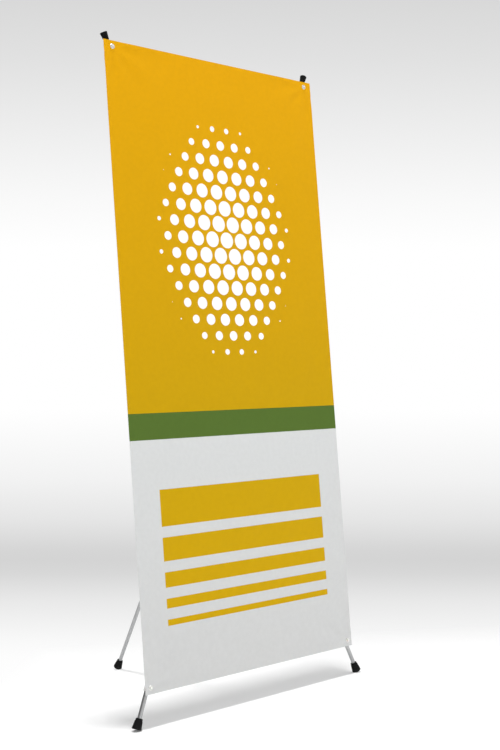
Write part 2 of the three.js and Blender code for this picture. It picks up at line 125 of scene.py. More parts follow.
class Axis:
    """The axis of turned pieces. In its own matrix, Z runs along it from its start."""

    def __init__(self, body, start, along):
        self.body = body
        self.start = start
        self.along = along
        aligned = 0.5
        side = ACROSS.cross(along) if abs(ACROSS.dot(along)) < aligned else UP.cross(along)
        side.normalize()
        back = along.cross(side)
        turn = Matrix((side, back, along)).transposed().to_4x4()
        self.matrix = Matrix.Translation(start) @ turn

    def heights_and_radii(self, node):
        """How far along the axis a node's points lie, and how far from it."""
        along = np.array(self.along)
        offsets = points_of(node) - np.array(self.start)
        heights = offsets @ along
        return heights, np.linalg.norm(offsets - heights[:, None] * along, axis=1)

    def reach(self, node):
        """Where a node starts and ends along the axis, and its largest and smallest radius."""
        heights, radii = self.heights_and_radii(node)
        return heights.min(), heights.max(), radii.max(), radii.min()

    def radii_near(self, node, height, span):
        """A node's smallest and largest radius within a span of a height."""
        heights, radii = self.heights_and_radii(node)
        near = radii[np.abs(heights - height) < span]
        return near.min(), near.max()


def limb(body, tube):
    """The axis of an arm or leg, from its hinge through the middle of its tube."""
    hinge = Vector(joint_named(f"{body}_fold")["pos_m"])
    return Axis(body, hinge, (middle_of(tube) - hinge).normalized())


ARMS = {side: limb(f"arm_{side}", f"arm_tube_{side}") for side in "lr"}
FRONT_LEGS = {side: limb(f"front_leg_{side}", f"front_leg_tube_{side}") for side in "lr"}
REAR_LEG = limb("rear_leg", "rear_leg_tube")


# Sizes and colours that a user may change


def display_colour(red, green, blue):
    """A colour as a screen shows it, from 0 to 255, in the linear values that shaders use."""
    shares = (red / 255, green / 255, blue / 255)
    return tuple(s / 12.92 if s <= 0.04045 else ((s + 0.055) / 1.055) ** 2.4 for s in shares)


def colour(name, description, default):
    return FloatVectorProperty(
        name=name, description=description, default=default, subtype="COLOR", min=0, max=1
    )


def position(name, description, default):
    return FloatVectorProperty(
        name=name, description=description, default=default, subtype="TRANSLATION", unit="LENGTH"
    )


def length(name, description, default):
    return FloatProperty(name=name, description=description, default=default, unit="LENGTH", precision=5)


def number(name, description, default):
    return FloatProperty(name=name, description=description, default=default)


def count(name, description, default):
    return IntProperty(name=name, description=description, default=default)


class SheetSettings(bpy.types.PropertyGroup):
    """The printed sheet"""

    upper: colour("Upper field", "Upper field at the sheet's top", display_colour(232, 169, 0))
    # The upper field's low colour is partly the print's own gradient and partly painted shade, as if lit
    # from above
    upper_low_shaded: colour("Upper field, low", "Upper field next to the band", display_colour(201, 159, 2))
    band: colour("Band", "Band between the two fields", display_colour(85, 111, 45))
    lower: colour("Lower field", "Lower field below the band", display_colour(214, 216, 216))
    # The lower field's low colour is partly the print's own gradient and partly painted shade, as if lit
    # from above
    lower_low_shaded: colour("Lower field, low", "Lower field at the sheet's foot", display_colour(201, 202, 202))
    dots: colour("Dots", "Dots on the upper field", display_colour(255, 255, 255))
    stripes: colour("Stripes", "Stripes on the lower field", display_colour(202, 161, 0))
    back: colour("Back", "Bare vinyl behind the print and along its cut edges", (0.78, 0.79, 0.78))
    band_foot: number("Band foot", "Where the band starts, as a share of the height", 0.379)
    band_head: number("Band head", "Where the band ends, as a share of the height", 0.420)
    dot_pitch: length("Dot pitch", "Distance between neighbouring dots", 0.055)
    dot_radius: length("Dot radius", "Radius of the largest dot", 0.0245)
    motif_width: length("Motif width", "Width of the field of dots", 0.52)
    motif_height: length("Motif height", "Height of the field of dots", 0.72)
    motif_middle: number("Motif middle", "Height of the dots' middle, as a share of the sheet", 0.70)
    stripe_width: length("Stripe width", "How far the stripes run across", 0.62)
    stripe_height: length("Stripe height", "Height of the widest stripe", 0.102)
    stripe_gap: length("Stripe gap", "Gap between stripes", 0.03)
    stripe_count: count("Stripes", "Number of stripes", 5)
    stripe_head: number("Stripe head", "Top of the highest stripe, as a share of the sheet", 0.302)
    crease: length("Crease", "Height of the tension creases at the corners", 0.0007)
    crease_reach: length("Crease reach", "How far the creases run from a corner", 0.16)
    bow: length("Bow", "How far the long edges stand forward between the corners", 0.0012)
    columns: count("Columns", "Faces across the sheet", 100)
    rows: count("Rows", "Faces up the sheet", 225)
    hole_facets: count("Hole facets", "Facets round a punched hole", 48)


class FrameSettings(bpy.types.PropertyGroup):
    """Tubes, plastic and rubber"""

    tube: colour("Tubes", "Drawn aluminium", (0.44, 0.445, 0.45))
    rod: colour("Rods", "Glass-fibre rods", (0.42, 0.43, 0.44))
    plastic: colour("Plastic", "Moulded black nylon", (0.018, 0.0185, 0.02))
    rubber: colour("Rubber", "Feet and caps", (0.0036, 0.0037, 0.0040))
    nylon: colour("Hooks", "White nylon", (0.80, 0.80, 0.78))
    nickel: colour("Nickel", "Eyelets and their washers", (0.86, 0.85, 0.83))
    steel: colour("Steel", "Screws, pins and rivet", (0.58, 0.58, 0.59))
    dust: colour("Dust", "Dust that settles on the rubber", (0.10, 0.095, 0.09))
    facets: count("Facets", "Facets round a turned piece", 48)
    edge: length("Edge", "Radius of a turned piece's edges", 0.0003)
    soft_edge: length("Soft edge", "Radius of a moulded piece's edges", 0.00035)
    rib_count: count("Ribs", "Grip ribs round a foot or cap", 18)
    rib_width: length("Rib width", "Width of a grip rib", 0.0011)


class StageSettings(bpy.types.PropertyGroup):
    """Floor, light and camera"""

    place: position("Camera place", "From the foot of the sheet", (-2.26588, -2.59154, 0.73686))
    turn: FloatVectorProperty(
        name="Camera turn", description="Camera rotation", subtype="EULER",
        default=(math.radians(91.958), math.radians(2.792), math.radians(-42.930)),
    )
    lens: number("Lens", "Focal length for the long side, mm", 56.255)
    shift: FloatVectorProperty(
        name="Shift", description="Framing shift, as shares of the long side", size=2,
        default=(-0.04138, -0.0019),
    )
    floor: colour("Floor", "Floor and backdrop", (0.97, 0.97, 0.97))
    sky: number("Sky", "Strength of the light from all round", 0.84)
    # This share also darkens the backdrop's left side in reflections only, a painted reflection for the
    # tubes' dark edge
    sky_dark: number("Dark side", "Share of that light from the side that tubes show as a dark edge", 0.2)
    key: number("Key light", "Power of the soft light overhead, in watts", 650)
    key_size: length("Key size", "Side of the soft light overhead", 0.85)
    key_place: position("Key place", "From the middle of the stand", (-0.15, -0.88, 9.0))
    floor_glow: number("Floor glow", "Share of plain white in the floor as the camera sees it", 0.1)
    # The backdrop's tones and bands below are painted shade
    floor_seen: number("Floor as seen", "Share of the backdrop's tone in the floor as seen", 0.83)
    backdrop_near: length("Backdrop start", "How far behind the stand the backdrop's tones begin", 0.0)
    backdrop_slant: number("Backdrop slant", "How far the backdrop's bands fall per metre aside", 0.0488)
    wall_start: length("Wall start", "Where the floor begins to curve up, from the stand", 4.5)
    wall_radius: length("Wall radius", "Radius of the curve between floor and wall", 2.5)


# Node trees


class Nodes:
    """A node tree being made, for a finish, the sky or geometry."""

    def __init__(self, tree):
        self.tree = tree

    def add(self, kind, inputs=None, **settings):
        """Adds a node, sets its own settings, and feeds its inputs by name or number."""
        node = self.tree.nodes.new(kind)
        for key, value in settings.items():
            setattr(node, key, value)
        for key, value in (inputs or {}).items():
            self.feed(value, node.inputs[key])
        return node

    def out(self, kind, inputs=None, **settings):
        """Adds a node in the same way, and gives its first output."""
        return self.add(kind, inputs, **settings).outputs[0]

    def feed(self, source, target):
        """Joins a socket to another one, or sets it to a plain value."""
        if isinstance(source, bpy.types.NodeSocket):
            self.tree.links.new(source, target)
        elif hasattr(source, "__len__") and len(source) == 3 and target.type == "RGBA":
            target.default_value = (*source, 1)
        else:
            target.default_value = source

    def math(self, operation, *values):
        return self.out("ShaderNodeMath", dict(enumerate(values)), operation=operation)

    def squares(self, first, second):
        """The sum of two values' squares."""
        return self.math("ADD", *(self.math("MULTIPLY", value, value) for value in (first, second)))

    def ramp(self, value, low, high, first, last):
        """A value carried from one range to another, and held at its ends."""
        return self.out("ShaderNodeMapRange", dict(enumerate((value, low, high, first, last))))

    def blend(self, share, first, second):
        """One surface or sky that goes over into another."""
        return self.out("ShaderNodeMixShader", {0: share, 1: first, 2: second})


class Recipe(Nodes):
    """A material being made, with short calls for the nodes that the finishes use."""

    def __init__(self, name):
        self.material = bpy.data.materials.new(name)
        self.material.use_nodes = True
        super().__init__(self.material.node_tree)
        self.shader = self.tree.nodes["Principled BSDF"]
        self.place = self.add("ShaderNodeTexCoord").outputs["Object"]

    def set(self, **values):
        """Sets the shader's own sockets. A name's underscores stand for spaces."""
        for key, value in values.items():
            self.feed(value, self.shader.inputs[key.replace("_", " ")])

    def mix(self, share, first, second):
        return self.add("ShaderNodeMix", {0: share, 6: first, 7: second}, data_type="RGBA").outputs[2]

    def split(self, place):
        """The three parts of a place."""
        return self.add("ShaderNodeSeparateXYZ", {0: place}).outputs

    def noise(self, size, detail, place=None, stretch=(1, 1, 1)):
        """Cloudy variation from 0 to 1, with features of about the given size in metres."""
        scale = [share / size for share in stretch]
        scaled = self.out("ShaderNodeMapping", {"Vector": place or self.place, "Scale": scale})
        inputs = {"Vector": scaled, "Scale": 1, "Detail": detail}
        return self.add("ShaderNodeTexNoise", inputs).outputs["Fac"]

    def cloud(self, size, detail, first, last, span=NOISE_SPAN):
        """Cloudy variation between two values."""
        return self.ramp(self.noise(size, detail), *span, first, last)

    def spots(self, size):
        """Distance to the nearest of many scattered points, for grains and pits."""
        inputs = {"Vector": self.place, "Scale": 1 / size}
        return self.add("ShaderNodeTexVoronoi", inputs).outputs["Distance"]

    def surface(self, name="surface"):
        """The piece's own map, in metres round and along it."""
        return self.add("ShaderNodeUVMap", uv_map=name).outputs["UV"]

    def bump(self, height, depth, below=None):
        """A normal from a height in shares of a depth, on top of another one where that is given."""
        inputs = {"Height": height, "Distance": depth}
        if below is not None:
            inputs["Normal"] = below
        return self.out("ShaderNodeBump", inputs)


# Finishes


def times(tint, factor):
    """A colour made darker or lighter."""
    return tuple(factor * share for share in tint)


def weave_height(recipe, across, along):
    """Height of a fine woven scrim that shows through the vinyl."""
    turns = math.tau / SCRIM_PITCH
    warp, weft = (
        recipe.math("SINE", recipe.math("MULTIPLY", place, turns)) for place in (across, along)
    )
    return recipe.math("MULTIPLY", warp, weft)


def dot_share(recipe, look, across, up, middle):
    """1 inside the dots, whose size falls off towards the edge of an oval field."""
    shrink, blur = 0.5 * MM, 0.2 * MM
    pitch = look.dot_pitch
    row_pitch = pitch * math.sqrt(3) / 2
    row_at = recipe.math("DIVIDE", recipe.math("SUBTRACT", up, middle), row_pitch)
    row = recipe.math("ROUND", row_at)
    odd = recipe.math("MULTIPLY", recipe.math("PINGPONG", row, 1.0), 0.5)
    column_at = recipe.math("SUBTRACT", recipe.math("DIVIDE", across, pitch), odd)
    column = recipe.math("ROUND", column_at)
    off_across = recipe.math("MULTIPLY", recipe.math("SUBTRACT", column_at, column), pitch)
    off_up = recipe.math("MULTIPLY", recipe.math("SUBTRACT", row_at, row), row_pitch)
    distance = recipe.math("SQRT", recipe.squares(off_across, off_up))
    cell_across = recipe.math("MULTIPLY", recipe.math("ADD", column, odd), pitch * 2 / look.motif_width)
    cell_up = recipe.math("MULTIPLY", row, row_pitch * 2 / look.motif_height)
    field = recipe.squares(cell_across, cell_up)
    falloff = recipe.math("SQRT", recipe.ramp(field, 0.0, 1.0, 1.0, 0.0))
    radius = recipe.math("SUBTRACT", recipe.math("MULTIPLY", falloff, look.dot_radius), shrink)
    return recipe.ramp(recipe.math("SUBTRACT", radius, distance), -blur, blur, 0.0, 1.0)


def stripe_share(recipe, look, across, up, height):
    """1 inside a stack of stripes that grow thinner towards the sheet's foot."""
    next_share = 0.64
    inside = recipe.math("LESS_THAN", recipe.math("ABSOLUTE", across), look.stripe_width / 2)
    head = look.stripe_head * height
    thickness = look.stripe_height
    total = 0.0
    for _ in range(look.stripe_count):
        middle = head - thickness / 2
        offset = recipe.math("ABSOLUTE", recipe.math("SUBTRACT", up, middle))
        total = recipe.math("ADD", recipe.math("LESS_THAN", offset, thickness / 2), total)
        head -= thickness + look.stripe_gap
        thickness *= next_share
    return recipe.math("MULTIPLY", inside, total)


def printed_vinyl(look, height):
    """Satin print on vinyl: two fields, a band, dots and stripes, ink mottling and a fine grain."""
    recipe = Recipe("printed vinyl")
    across, up, _ = recipe.split(recipe.surface("print"))
    share = recipe.math("DIVIDE", up, height)
    # Each field darkens towards the band and the foot: partly the print's own gradient, partly painted
    # shade as if lit from above
    upper = recipe.mix(recipe.ramp(share, look.band_head, 1.0, 0.0, 1.0), look.upper_low_shaded, look.upper)
    lower = recipe.mix(recipe.ramp(share, 0.0, look.band_foot, 0.0, 1.0), look.lower_low_shaded, look.lower)
    upper = recipe.mix(dot_share(recipe, look, across, up, look.motif_middle * height), upper, look.dots)
    lower = recipe.mix(stripe_share(recipe, look, across, up, height), lower, look.stripes)
    below_head = recipe.math("LESS_THAN", share, look.band_head)
    below_foot = recipe.math("LESS_THAN", share, look.band_foot)
    print_colour = recipe.mix(below_foot, recipe.mix(below_head, upper, look.band), lower)
    mottle = recipe.cloud(12 * MM, detail=4, first=0.0, last=0.035)
    scrim = recipe.bump(weave_height(recipe, across, up), depth=0.004 * MM)
    recipe.set(
        Base_Color=recipe.mix(mottle, print_colour, BLACK),
        Roughness=recipe.cloud(50 * MM, detail=3, first=0.5, last=0.6), Specular_IOR_Level=0.08,
        Normal=recipe.bump(recipe.noise(0.4 * MM, detail=1), depth=0.012 * MM, below=scrim),
    )
    return recipe.material


def bare_vinyl(look):
    """White vinyl with its scrim showing through, for the back and the cut edges."""
    recipe = Recipe("bare vinyl")
    shade = (0.45, 0.46, 0.46)
    thread_share = 0.05
    across, up, _ = recipe.split(recipe.surface("print"))
    weave = weave_height(recipe, across, up)
    threads = recipe.ramp(weave, -1.0, 1.0, 0.0, thread_share)
    clouds = recipe.cloud(80 * MM, detail=3, first=0.0, last=0.06)
    grain = recipe.bump(recipe.noise(0.5 * MM, detail=2), depth=0.02 * MM)
    recipe.set(
        Base_Color=recipe.mix(recipe.math("ADD", threads, clouds), look.back, shade),
        Roughness=recipe.cloud(20 * MM, detail=2, first=0.52, last=0.64),
        Normal=recipe.bump(weave, depth=0.02 * MM, below=grain), Specular_IOR_Level=0.3,
    )
    return recipe.material


def drawn_metal(name, tint, roughness, lines=True):
    """Metal with fine drawing lines along the piece, handling smears and a slightly uneven tint."""
    recipe = Recipe(name)
    line_stretch = (1, 0.02, 1)
    sum_span = (0.7, 1.3)
    dull_share, dull = 0.28, 0.6
    scratch_span, smear_span = (-0.04, 0.05), (-0.03, 0.05)
    fine = recipe.noise(0.5 * MM, 3, recipe.surface() if lines else recipe.place, line_stretch)
    broad = recipe.noise(20 * MM, detail=3)
    tone = recipe.ramp(recipe.math("ADD", fine, broad), *sum_span, 0.0, dull_share)
    scratches = recipe.ramp(fine, *NOISE_SPAN, *scratch_span)
    smears = recipe.ramp(broad, *NOISE_SPAN, *smear_span)
    recipe.set(
        Base_Color=recipe.mix(tone, tint, times(tint, dull)), Metallic=1.0,
        Roughness=recipe.math("ADD", recipe.math("ADD", scratches, smears), roughness),
        Normal=recipe.bump(fine, depth=0.006 * MM),
    )
    return recipe.material


def fibre_rod(look):
    """Pale grey coating on glass fibre, with the strands faintly showing."""
    recipe = Recipe("glass-fibre rod")
    strand_stretch = (1, 0.01, 1)
    strand_share, strand_tint = 0.35, 0.7
    strands = recipe.noise(0.4 * MM, 3, recipe.surface(), strand_stretch)
    tone = recipe.ramp(strands, *STRONG_NOISE_SPAN, 0.0, strand_share)
    recipe.set(
        Base_Color=recipe.mix(tone, look.rod, times(look.rod, strand_tint)),
        Roughness=recipe.cloud(10 * MM, detail=2, first=0.34, last=0.46),
        Normal=recipe.bump(strands, depth=0.008 * MM), Specular_IOR_Level=0.45,
    )
    return recipe.material


def moulded_plastic(look):
    """Black nylon with spark-eroded grain, faint flow marks and lighter rub marks."""
    recipe = Recipe("moulded black nylon")
    flow_stretch = (1, 1, 0.4)
    rub_span = (0.6, 0.78)
    flow_share, flow_tint, rub_tint = 0.6, 1.9, 4
    flow = recipe.noise(14 * MM, detail=4, stretch=flow_stretch)
    marks = recipe.ramp(flow, *STRONG_NOISE_SPAN, 0.0, flow_share)
    tone = recipe.mix(marks, look.plastic, times(look.plastic, flow_tint))
    rub = recipe.cloud(4 * MM, detail=5, first=0.0, last=0.35, span=rub_span)
    skin = recipe.bump(recipe.noise(0.2 * MM, detail=1), depth=0.01 * MM)
    recipe.set(
        Base_Color=recipe.mix(rub, tone, times(look.plastic, rub_tint)),
        Roughness=recipe.ramp(flow, *NOISE_SPAN, 0.42, 0.56), Specular_IOR_Level=0.42,
        Normal=recipe.bump(recipe.spots(0.7 * MM), depth=0.03 * MM, below=skin),
    )
    return recipe.material


def grip_rubber(look):
    """Black rubber with a dull skin, fine pits and dust that gathers near the floor."""
    recipe = Recipe("black rubber")
    dust_height = 12 * MM
    floor_share, upper_share = 0.5, 0.04
    patch_span = (0.45, 0.75)
    _, _, height = recipe.split(recipe.place)
    low = recipe.ramp(height, 0.0, dust_height, floor_share, upper_share)
    patches = recipe.cloud(3 * MM, detail=5, first=0.0, last=1.0, span=patch_span)
    recipe.set(
        Base_Color=recipe.mix(recipe.math("MULTIPLY", low, patches), look.rubber, look.dust),
        Roughness=recipe.cloud(6 * MM, detail=3, first=0.5, last=0.68),
        Normal=recipe.bump(recipe.spots(0.9 * MM), depth=0.03 * MM), Specular_IOR_Level=0.12,
    )
    return recipe.material


def clear_nylon(look):
    """White nylon, slightly translucent and satin."""
    recipe = Recipe("white nylon")
    shade = (0.55, 0.55, 0.52)
    shade_share = 0.12
    clouds = recipe.noise(4 * MM, detail=3)
    recipe.set(
        Base_Color=recipe.mix(recipe.ramp(clouds, *NOISE_SPAN, 0.0, shade_share), look.nylon, shade),
        Roughness=recipe.ramp(clouds, *NOISE_SPAN, 0.3, 0.42),
        Normal=recipe.bump(recipe.noise(0.6 * MM, detail=2), depth=0.01 * MM),
        Subsurface_Weight=0.2, Subsurface_Scale=1.5 * MM,
    )
    return recipe.material


# Meshes


def new_piece(name, mesh):
    piece = bpy.data.objects.new(name, mesh)
    bpy.context.scene.collection.objects.link(piece)
    return piece


def shape_of(mesh):
    shape = bmesh.new()
    shape.from_mesh(mesh)
    return shape


def put_back(shape, mesh):
    """Writes an edited shape into a mesh, and frees it."""
    shape.to_mesh(mesh)
    shape.free()
    return mesh


def rounded(outline, radius, steps=3):
    """A closed outline with each corner off the axis rounded by up to the given radius."""
    side_share = 0.45
    flattest = math.radians(165)
    shortest_run = 0.001 * MM
    points = [Vector(point) for point in outline]
    result = []
    for i, corner in enumerate(points):
        before, after = points[i - 1], points[(i + 1) % len(points)]
        into, out = before - corner, after - corner
        shorter = min(into.length, out.length)
        if corner.x < ON_AXIS or shorter < SAME_PLACE:
            result.append(corner)
            continue
        opening = into.angle(out)
        run = min(radius / math.tan(opening / 2), shorter * side_share)
        if opening > flattest or run < shortest_run:
            result.append(corner)
            continue
        start, end = corner + into.normalized() * run, corner + out.normalized() * run
        for step in range(steps + 1):
            t = step / steps
            result.append(start * (1 - t) ** 2 + corner * 2 * t * (1 - t) + end * t ** 2)
    return result


def turned_mesh(name, outline, facets):
    """A solid of revolution about Z from a closed outline of (radius, height), with a map in metres."""
    outline = [Vector(point) for point in outline]
    facet_width = math.tau * max(point.x for point in outline) / facets
    corners = []
    rings = []
    for point in outline:
        on_axis = point.x < ON_AXIS
        ring = [len(corners)] * facets if on_axis else list(range(len(corners), len(corners) + facets))
        for step in range(1 if on_axis else facets):
            turn = math.tau * step / facets
            corners.append((point.x * math.cos(turn), point.x * math.sin(turn), point.y))
        rings.append(ring)
    faces = []
    maps = []
    run = 0.0
    for i, point in enumerate(outline):
        j = (i + 1) % len(outline)
        if point.x < ON_AXIS and outline[j].x < ON_AXIS:
            continue
        end_run = run + (outline[j] - point).length
        for k in range(facets):
            m = (k + 1) % facets
            left, right = k * facet_width, (k + 1) * facet_width
            loop = [
                (rings[i][k], (left, run)), (rings[i][m], (right, run)),
                (rings[j][m], (right, end_run)), (rings[j][k], (left, end_run)),
            ]
            face = [entry for n, entry in enumerate(loop) if entry[0] != loop[n - 1][0]]
            faces.append([entry[0] for entry in face])
            maps += [entry[1] for entry in face]
        run = end_run
    mesh = bpy.data.meshes.new(name)
    mesh.from_pydata(corners, [], faces)
    layer = mesh.uv_layers.new(name="surface")
    layer.data.foreach_set("uv", np.array(maps, np.float32).ravel())
    return closed_outwards(mesh)


def closed_outwards(mesh):
    """Turns a closed mesh's faces outwards, and shades it smooth up to an angle."""
    sharp = math.radians(35)
    shape = shape_of(mesh)
    if shape.calc_volume(signed=True) < 0:
        bmesh.ops.reverse_faces(shape, faces=shape.faces)
    put_back(shape, mesh)
    mesh.shade_smooth()
    mesh.set_sharp_from_angle(angle=sharp)
    return mesh


def made_plain(piece, matrix=None):
    """Replaces a piece's modifiers by their result, and puts its place into the mesh."""
    graph = bpy.context.evaluated_depsgraph_get()
    mesh = bpy.data.meshes.new_from_object(
        piece.evaluated_get(graph), preserve_all_data_layers=True, depsgraph=graph
    )
    piece.modifiers.clear()
    piece.data = mesh
    if matrix is not None:
        mesh.transform(matrix)
    mesh.name = piece.name


def cut_out(piece, cutter, solver):
    """Takes a cutter's shape out of a piece. The cutter is removed."""
    cut = piece.modifiers.new("Cut", "BOOLEAN")
    cut.object = cutter
    cut.operation = "DIFFERENCE"
    cut.solver = solver
    cut.use_self = solver == "EXACT"
    made_plain(piece)
    bpy.data.objects.remove(cutter)


def cut_at_floor(mesh):
    """Cuts away what lies below the floor, and closes the flat."""
    shape = shape_of(mesh)
    everything = shape.verts[:] + shape.edges[:] + shape.faces[:]
    cut = bmesh.ops.bisect_plane(
        shape, geom=everything, plane_co=(0, 0, 0), plane_no=UP, clear_inner=True
    )
    rim = [item for item in cut["geom_cut"] if isinstance(item, bmesh.types.BMEdge)]
    bmesh.ops.holes_fill(shape, edges=rim, sides=0)
    put_back(shape, mesh)


def fitted(piece, body, slot, material, *nodes):
    """Gives a piece its finish, its body and the nodes that it stands for."""
    if material is not None and not piece.data.materials:
        piece.data.materials.append(material)
    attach(piece, body)
    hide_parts(*nodes)


def softened(node, material, slot, body, edge):
    """A copy of a CAD node with its edges rounded a little and its round faces shaded smooth."""
    weld = 0.004 * MM
    flat, sharp = math.radians(0.6), math.radians(30)
    mesh = NODES[node].data.copy()
    mesh.materials.clear()
    shape = shape_of(mesh)
    bmesh.ops.remove_doubles(shape, verts=shape.verts, dist=weld)
    bmesh.ops.dissolve_limit(shape, angle_limit=flat, verts=shape.verts, edges=shape.edges)
    piece = new_piece(f"{node}_body", closed_outwards(put_back(shape, mesh)))
    bevel = piece.modifiers.new("Soft edges", "BEVEL")
    bevel.width = edge
    bevel.segments = 2
    bevel.limit_method = "ANGLE"
    bevel.angle_limit = sharp
    bevel.use_clamp_overlap = True
    shading = piece.modifiers.new("Flat faces", "WEIGHTED_NORMAL")
    shading.keep_sharp = True
    made_plain(piece)
    fitted(piece, body, slot, material, node)


def turned_piece(name, axis, outline, look, material, slot, node, ribs=None, floor_cut=False):
    """A turned piece on an axis, with its edges rounded, and grip ribs round it where they are given."""
    mesh = turned_mesh(name, rounded(outline, look.edge), look.facets)
    mesh.materials.append(material)
    piece = new_piece(name, mesh)
    if ribs is not None:
        add_tree(piece, rib_tree(), Finish=material, **ribs)
    made_plain(piece, axis.matrix)
    if floor_cut:
        cut_at_floor(piece.data)
    fitted(piece, axis.body, slot, material, node)


# Geometry nodes for what repeats


def new_tree(name, sockets):
    """A tree with the given inputs, the inputs themselves and the socket that its result goes to."""
    tree = bpy.data.node_groups.new(name, "GeometryNodeTree")
    tree.is_modifier = True
    for label, kind in {"Geometry": "Geometry", **sockets}.items():
        tree.interface.new_socket(label, in_out="INPUT", socket_type=f"NodeSocket{kind}")
    tree.interface.new_socket("Geometry", in_out="OUTPUT", socket_type="NodeSocketGeometry")
    nodes = Nodes(tree)
    return nodes, nodes.add("NodeGroupInput").outputs, nodes.add("NodeGroupOutput").inputs[0]


def end_tree(nodes, result, instances, material, beside=None):
    """Ends a tree: its instances made real, beside other geometry where given, with their finish."""
    shown = nodes.out("GeometryNodeRealizeInstances", {"Geometry": instances})
    if beside is not None:
        joined = nodes.add("GeometryNodeJoinGeometry", {0: beside})
        nodes.feed(shown, joined.inputs[0])
        shown = joined.outputs[0]
    nodes.feed(nodes.out("GeometryNodeSetMaterial", {"Geometry": shown, "Material": material}), result)


def add_tree(piece, tree, **values):
    """Puts a tree on a piece, with its inputs set. A name's underscores stand for spaces."""
    modifier = piece.modifiers.new(tree.name, "NODES")
    modifier.node_group = tree
    for item in tree.interface.items_tree:
        key = item.name.replace(" ", "_")
        if item.item_type == "SOCKET" and item.in_out == "INPUT" and key in values:
            modifier[item.identifier] = values[key]


def copies_tree():
    """Copies of one piece at a mesh's points, turned to face an axis, each spun a little by chance."""
    nodes, given, result = new_tree("Copies at places", {
        "Piece": "Object", "Axis": "Vector", "Spin": "Float", "Seed": "Int", "Finish": "Material",
    })
    source = nodes.add("GeometryNodeObjectInfo", {"Object": given["Piece"]}).outputs["Geometry"]
    facing = nodes.out("FunctionNodeAlignRotationToVector", {"Vector": given["Axis"]}, axis="Z")
    low = nodes.math("MULTIPLY", given["Spin"], -1.0)
    chance = nodes.add(
        "FunctionNodeRandomValue", {2: low, 3: given["Spin"], "Seed": given["Seed"]}, data_type="FLOAT"
    )
    angles = nodes.out("ShaderNodeCombineXYZ", {"Z": chance.outputs[1]})
    spin = nodes.out("FunctionNodeEulerToRotation", {0: angles})
    turned = nodes.out("FunctionNodeRotateRotation", {0: facing, 1: spin}, rotation_space="LOCAL")
    copies = nodes.out("GeometryNodeInstanceOnPoints", {
        "Points": given["Geometry"], "Instance": source, "Rotation": turned,
    })
    end_tree(nodes, result, copies, given["Finish"])
    return nodes.tree


def rib_tree():
    """Half-round ribs spread evenly round Z, from a near to a far ring, joined to the piece."""
    name = "Ribs round an axis"
    if name in bpy.data.node_groups:
        return bpy.data.node_groups[name]
    points_along, sides = 12, 10
    blunt_power, end_share = 0.3, 0.2
    nodes, given, result = new_tree(name, {
        "Count": "Int", "Near radius": "Float", "Near height": "Float", "Far radius": "Float",
        "Far height": "Float", "Width": "Float", "Finish": "Material",
    })
    near, far = (
        nodes.out("ShaderNodeCombineXYZ", {"X": given[f"{end} radius"], "Z": given[f"{end} height"]})
        for end in ("Near", "Far")
    )
    line = nodes.out("GeometryNodeCurvePrimitiveLine", {"Start": near, "End": far})
    points = nodes.out("GeometryNodeResampleCurve", {"Curve": line, "Count": points_along})
    along = nodes.add("GeometryNodeSplineParameter").outputs["Factor"]
    swell = nodes.math("MULTIPLY", along, nodes.math("SUBTRACT", 1.0, along))
    blunt = nodes.math("POWER", nodes.math("MULTIPLY", swell, 4.0), blunt_power)
    ends = nodes.math("MAXIMUM", blunt, end_share)
    tapered = nodes.out("GeometryNodeSetCurveRadius", {"Curve": points, "Radius": ends})
    half_width = nodes.math("MULTIPLY", given["Width"], 0.5)
    section = nodes.out("GeometryNodeCurvePrimitiveCircle", {"Resolution": sides, "Radius": half_width})
    rib = nodes.out("GeometryNodeCurveToMesh", {
        "Curve": tapered, "Profile Curve": section, "Fill Caps": True,
    })
    spots = nodes.out("GeometryNodePoints", {"Count": given["Count"]})
    step = nodes.math("DIVIDE", math.tau, given["Count"])
    turn = nodes.math("MULTIPLY", nodes.out("GeometryNodeInputIndex"), step)
    angles = nodes.out("ShaderNodeCombineXYZ", {"Z": turn})
    spin = nodes.out("FunctionNodeEulerToRotation", {0: angles})
    ribs = nodes.out("GeometryNodeInstanceOnPoints", {"Points": spots, "Instance": rib, "Rotation": spin})
    end_tree(nodes, result, ribs, given["Finish"], beside=given["Geometry"])
    return nodes.tree


def copied(name, source, places, axis, material, spin=0.0, seed=1):
    """One mesh of copies of a source piece at the given places. The source is removed."""
    points = bpy.data.meshes.new(name)
    points.from_pydata([tuple(place) for place in places], [], [])
    piece = new_piece(name, points)
    add_tree(piece, copies_tree(), Piece=source, Axis=tuple(axis), Spin=spin, Seed=seed, Finish=material)
    made_plain(piece)
    bpy.data.objects.remove(source)
    return piece


# Sheet


def sheet_sizes():
    offsets = points_of("banner_sheet") - np.array(SHEET_MIDDLE)
    return [np.ptp(offsets @ np.array(direction)) for direction in (ACROSS, SHEET_UP, SHEET_FRONT)]


def eyelet_places():
    """Where each eyelet's axis crosses the sheet's middle plane."""
    places = {}
    for corner in CORNERS:
        middle = middle_of(f"eyelet_{corner}")
        places[corner] = middle - SHEET_FRONT * (middle - SHEET_MIDDLE).dot(SHEET_FRONT)
    return places


def hole_radius():
    place = np.array(eyelet_places()["tl"])
    return np.linalg.norm(points_of("banner_sheet") - place, axis=1).min()


def sheet_lift(look, across, up, width, height):
    """How far the stretched sheet stands in front of its plane: creases at the corners and bowed edges."""
    bow_power, folds = 4, 9
    smooth_radius, rise = 12 * MM, 30 * MM
    lift = look.bow * (np.abs(across) / (width / 2)) ** bow_power * np.cos(math.pi * up / height)
    for place in eyelet_places().values():
        offset = place - SHEET_MIDDLE
        right, above = across - offset.dot(ACROSS), up - offset.dot(SHEET_UP)
        reach = np.hypot(right, above)
        clear = np.clip((reach - smooth_radius) / rise, 0, 1)
        fade = clear * np.exp(-(reach / look.crease_reach) ** 2)
        lift += look.crease * np.sin(folds * np.arctan2(above, right)) * fade
    return lift


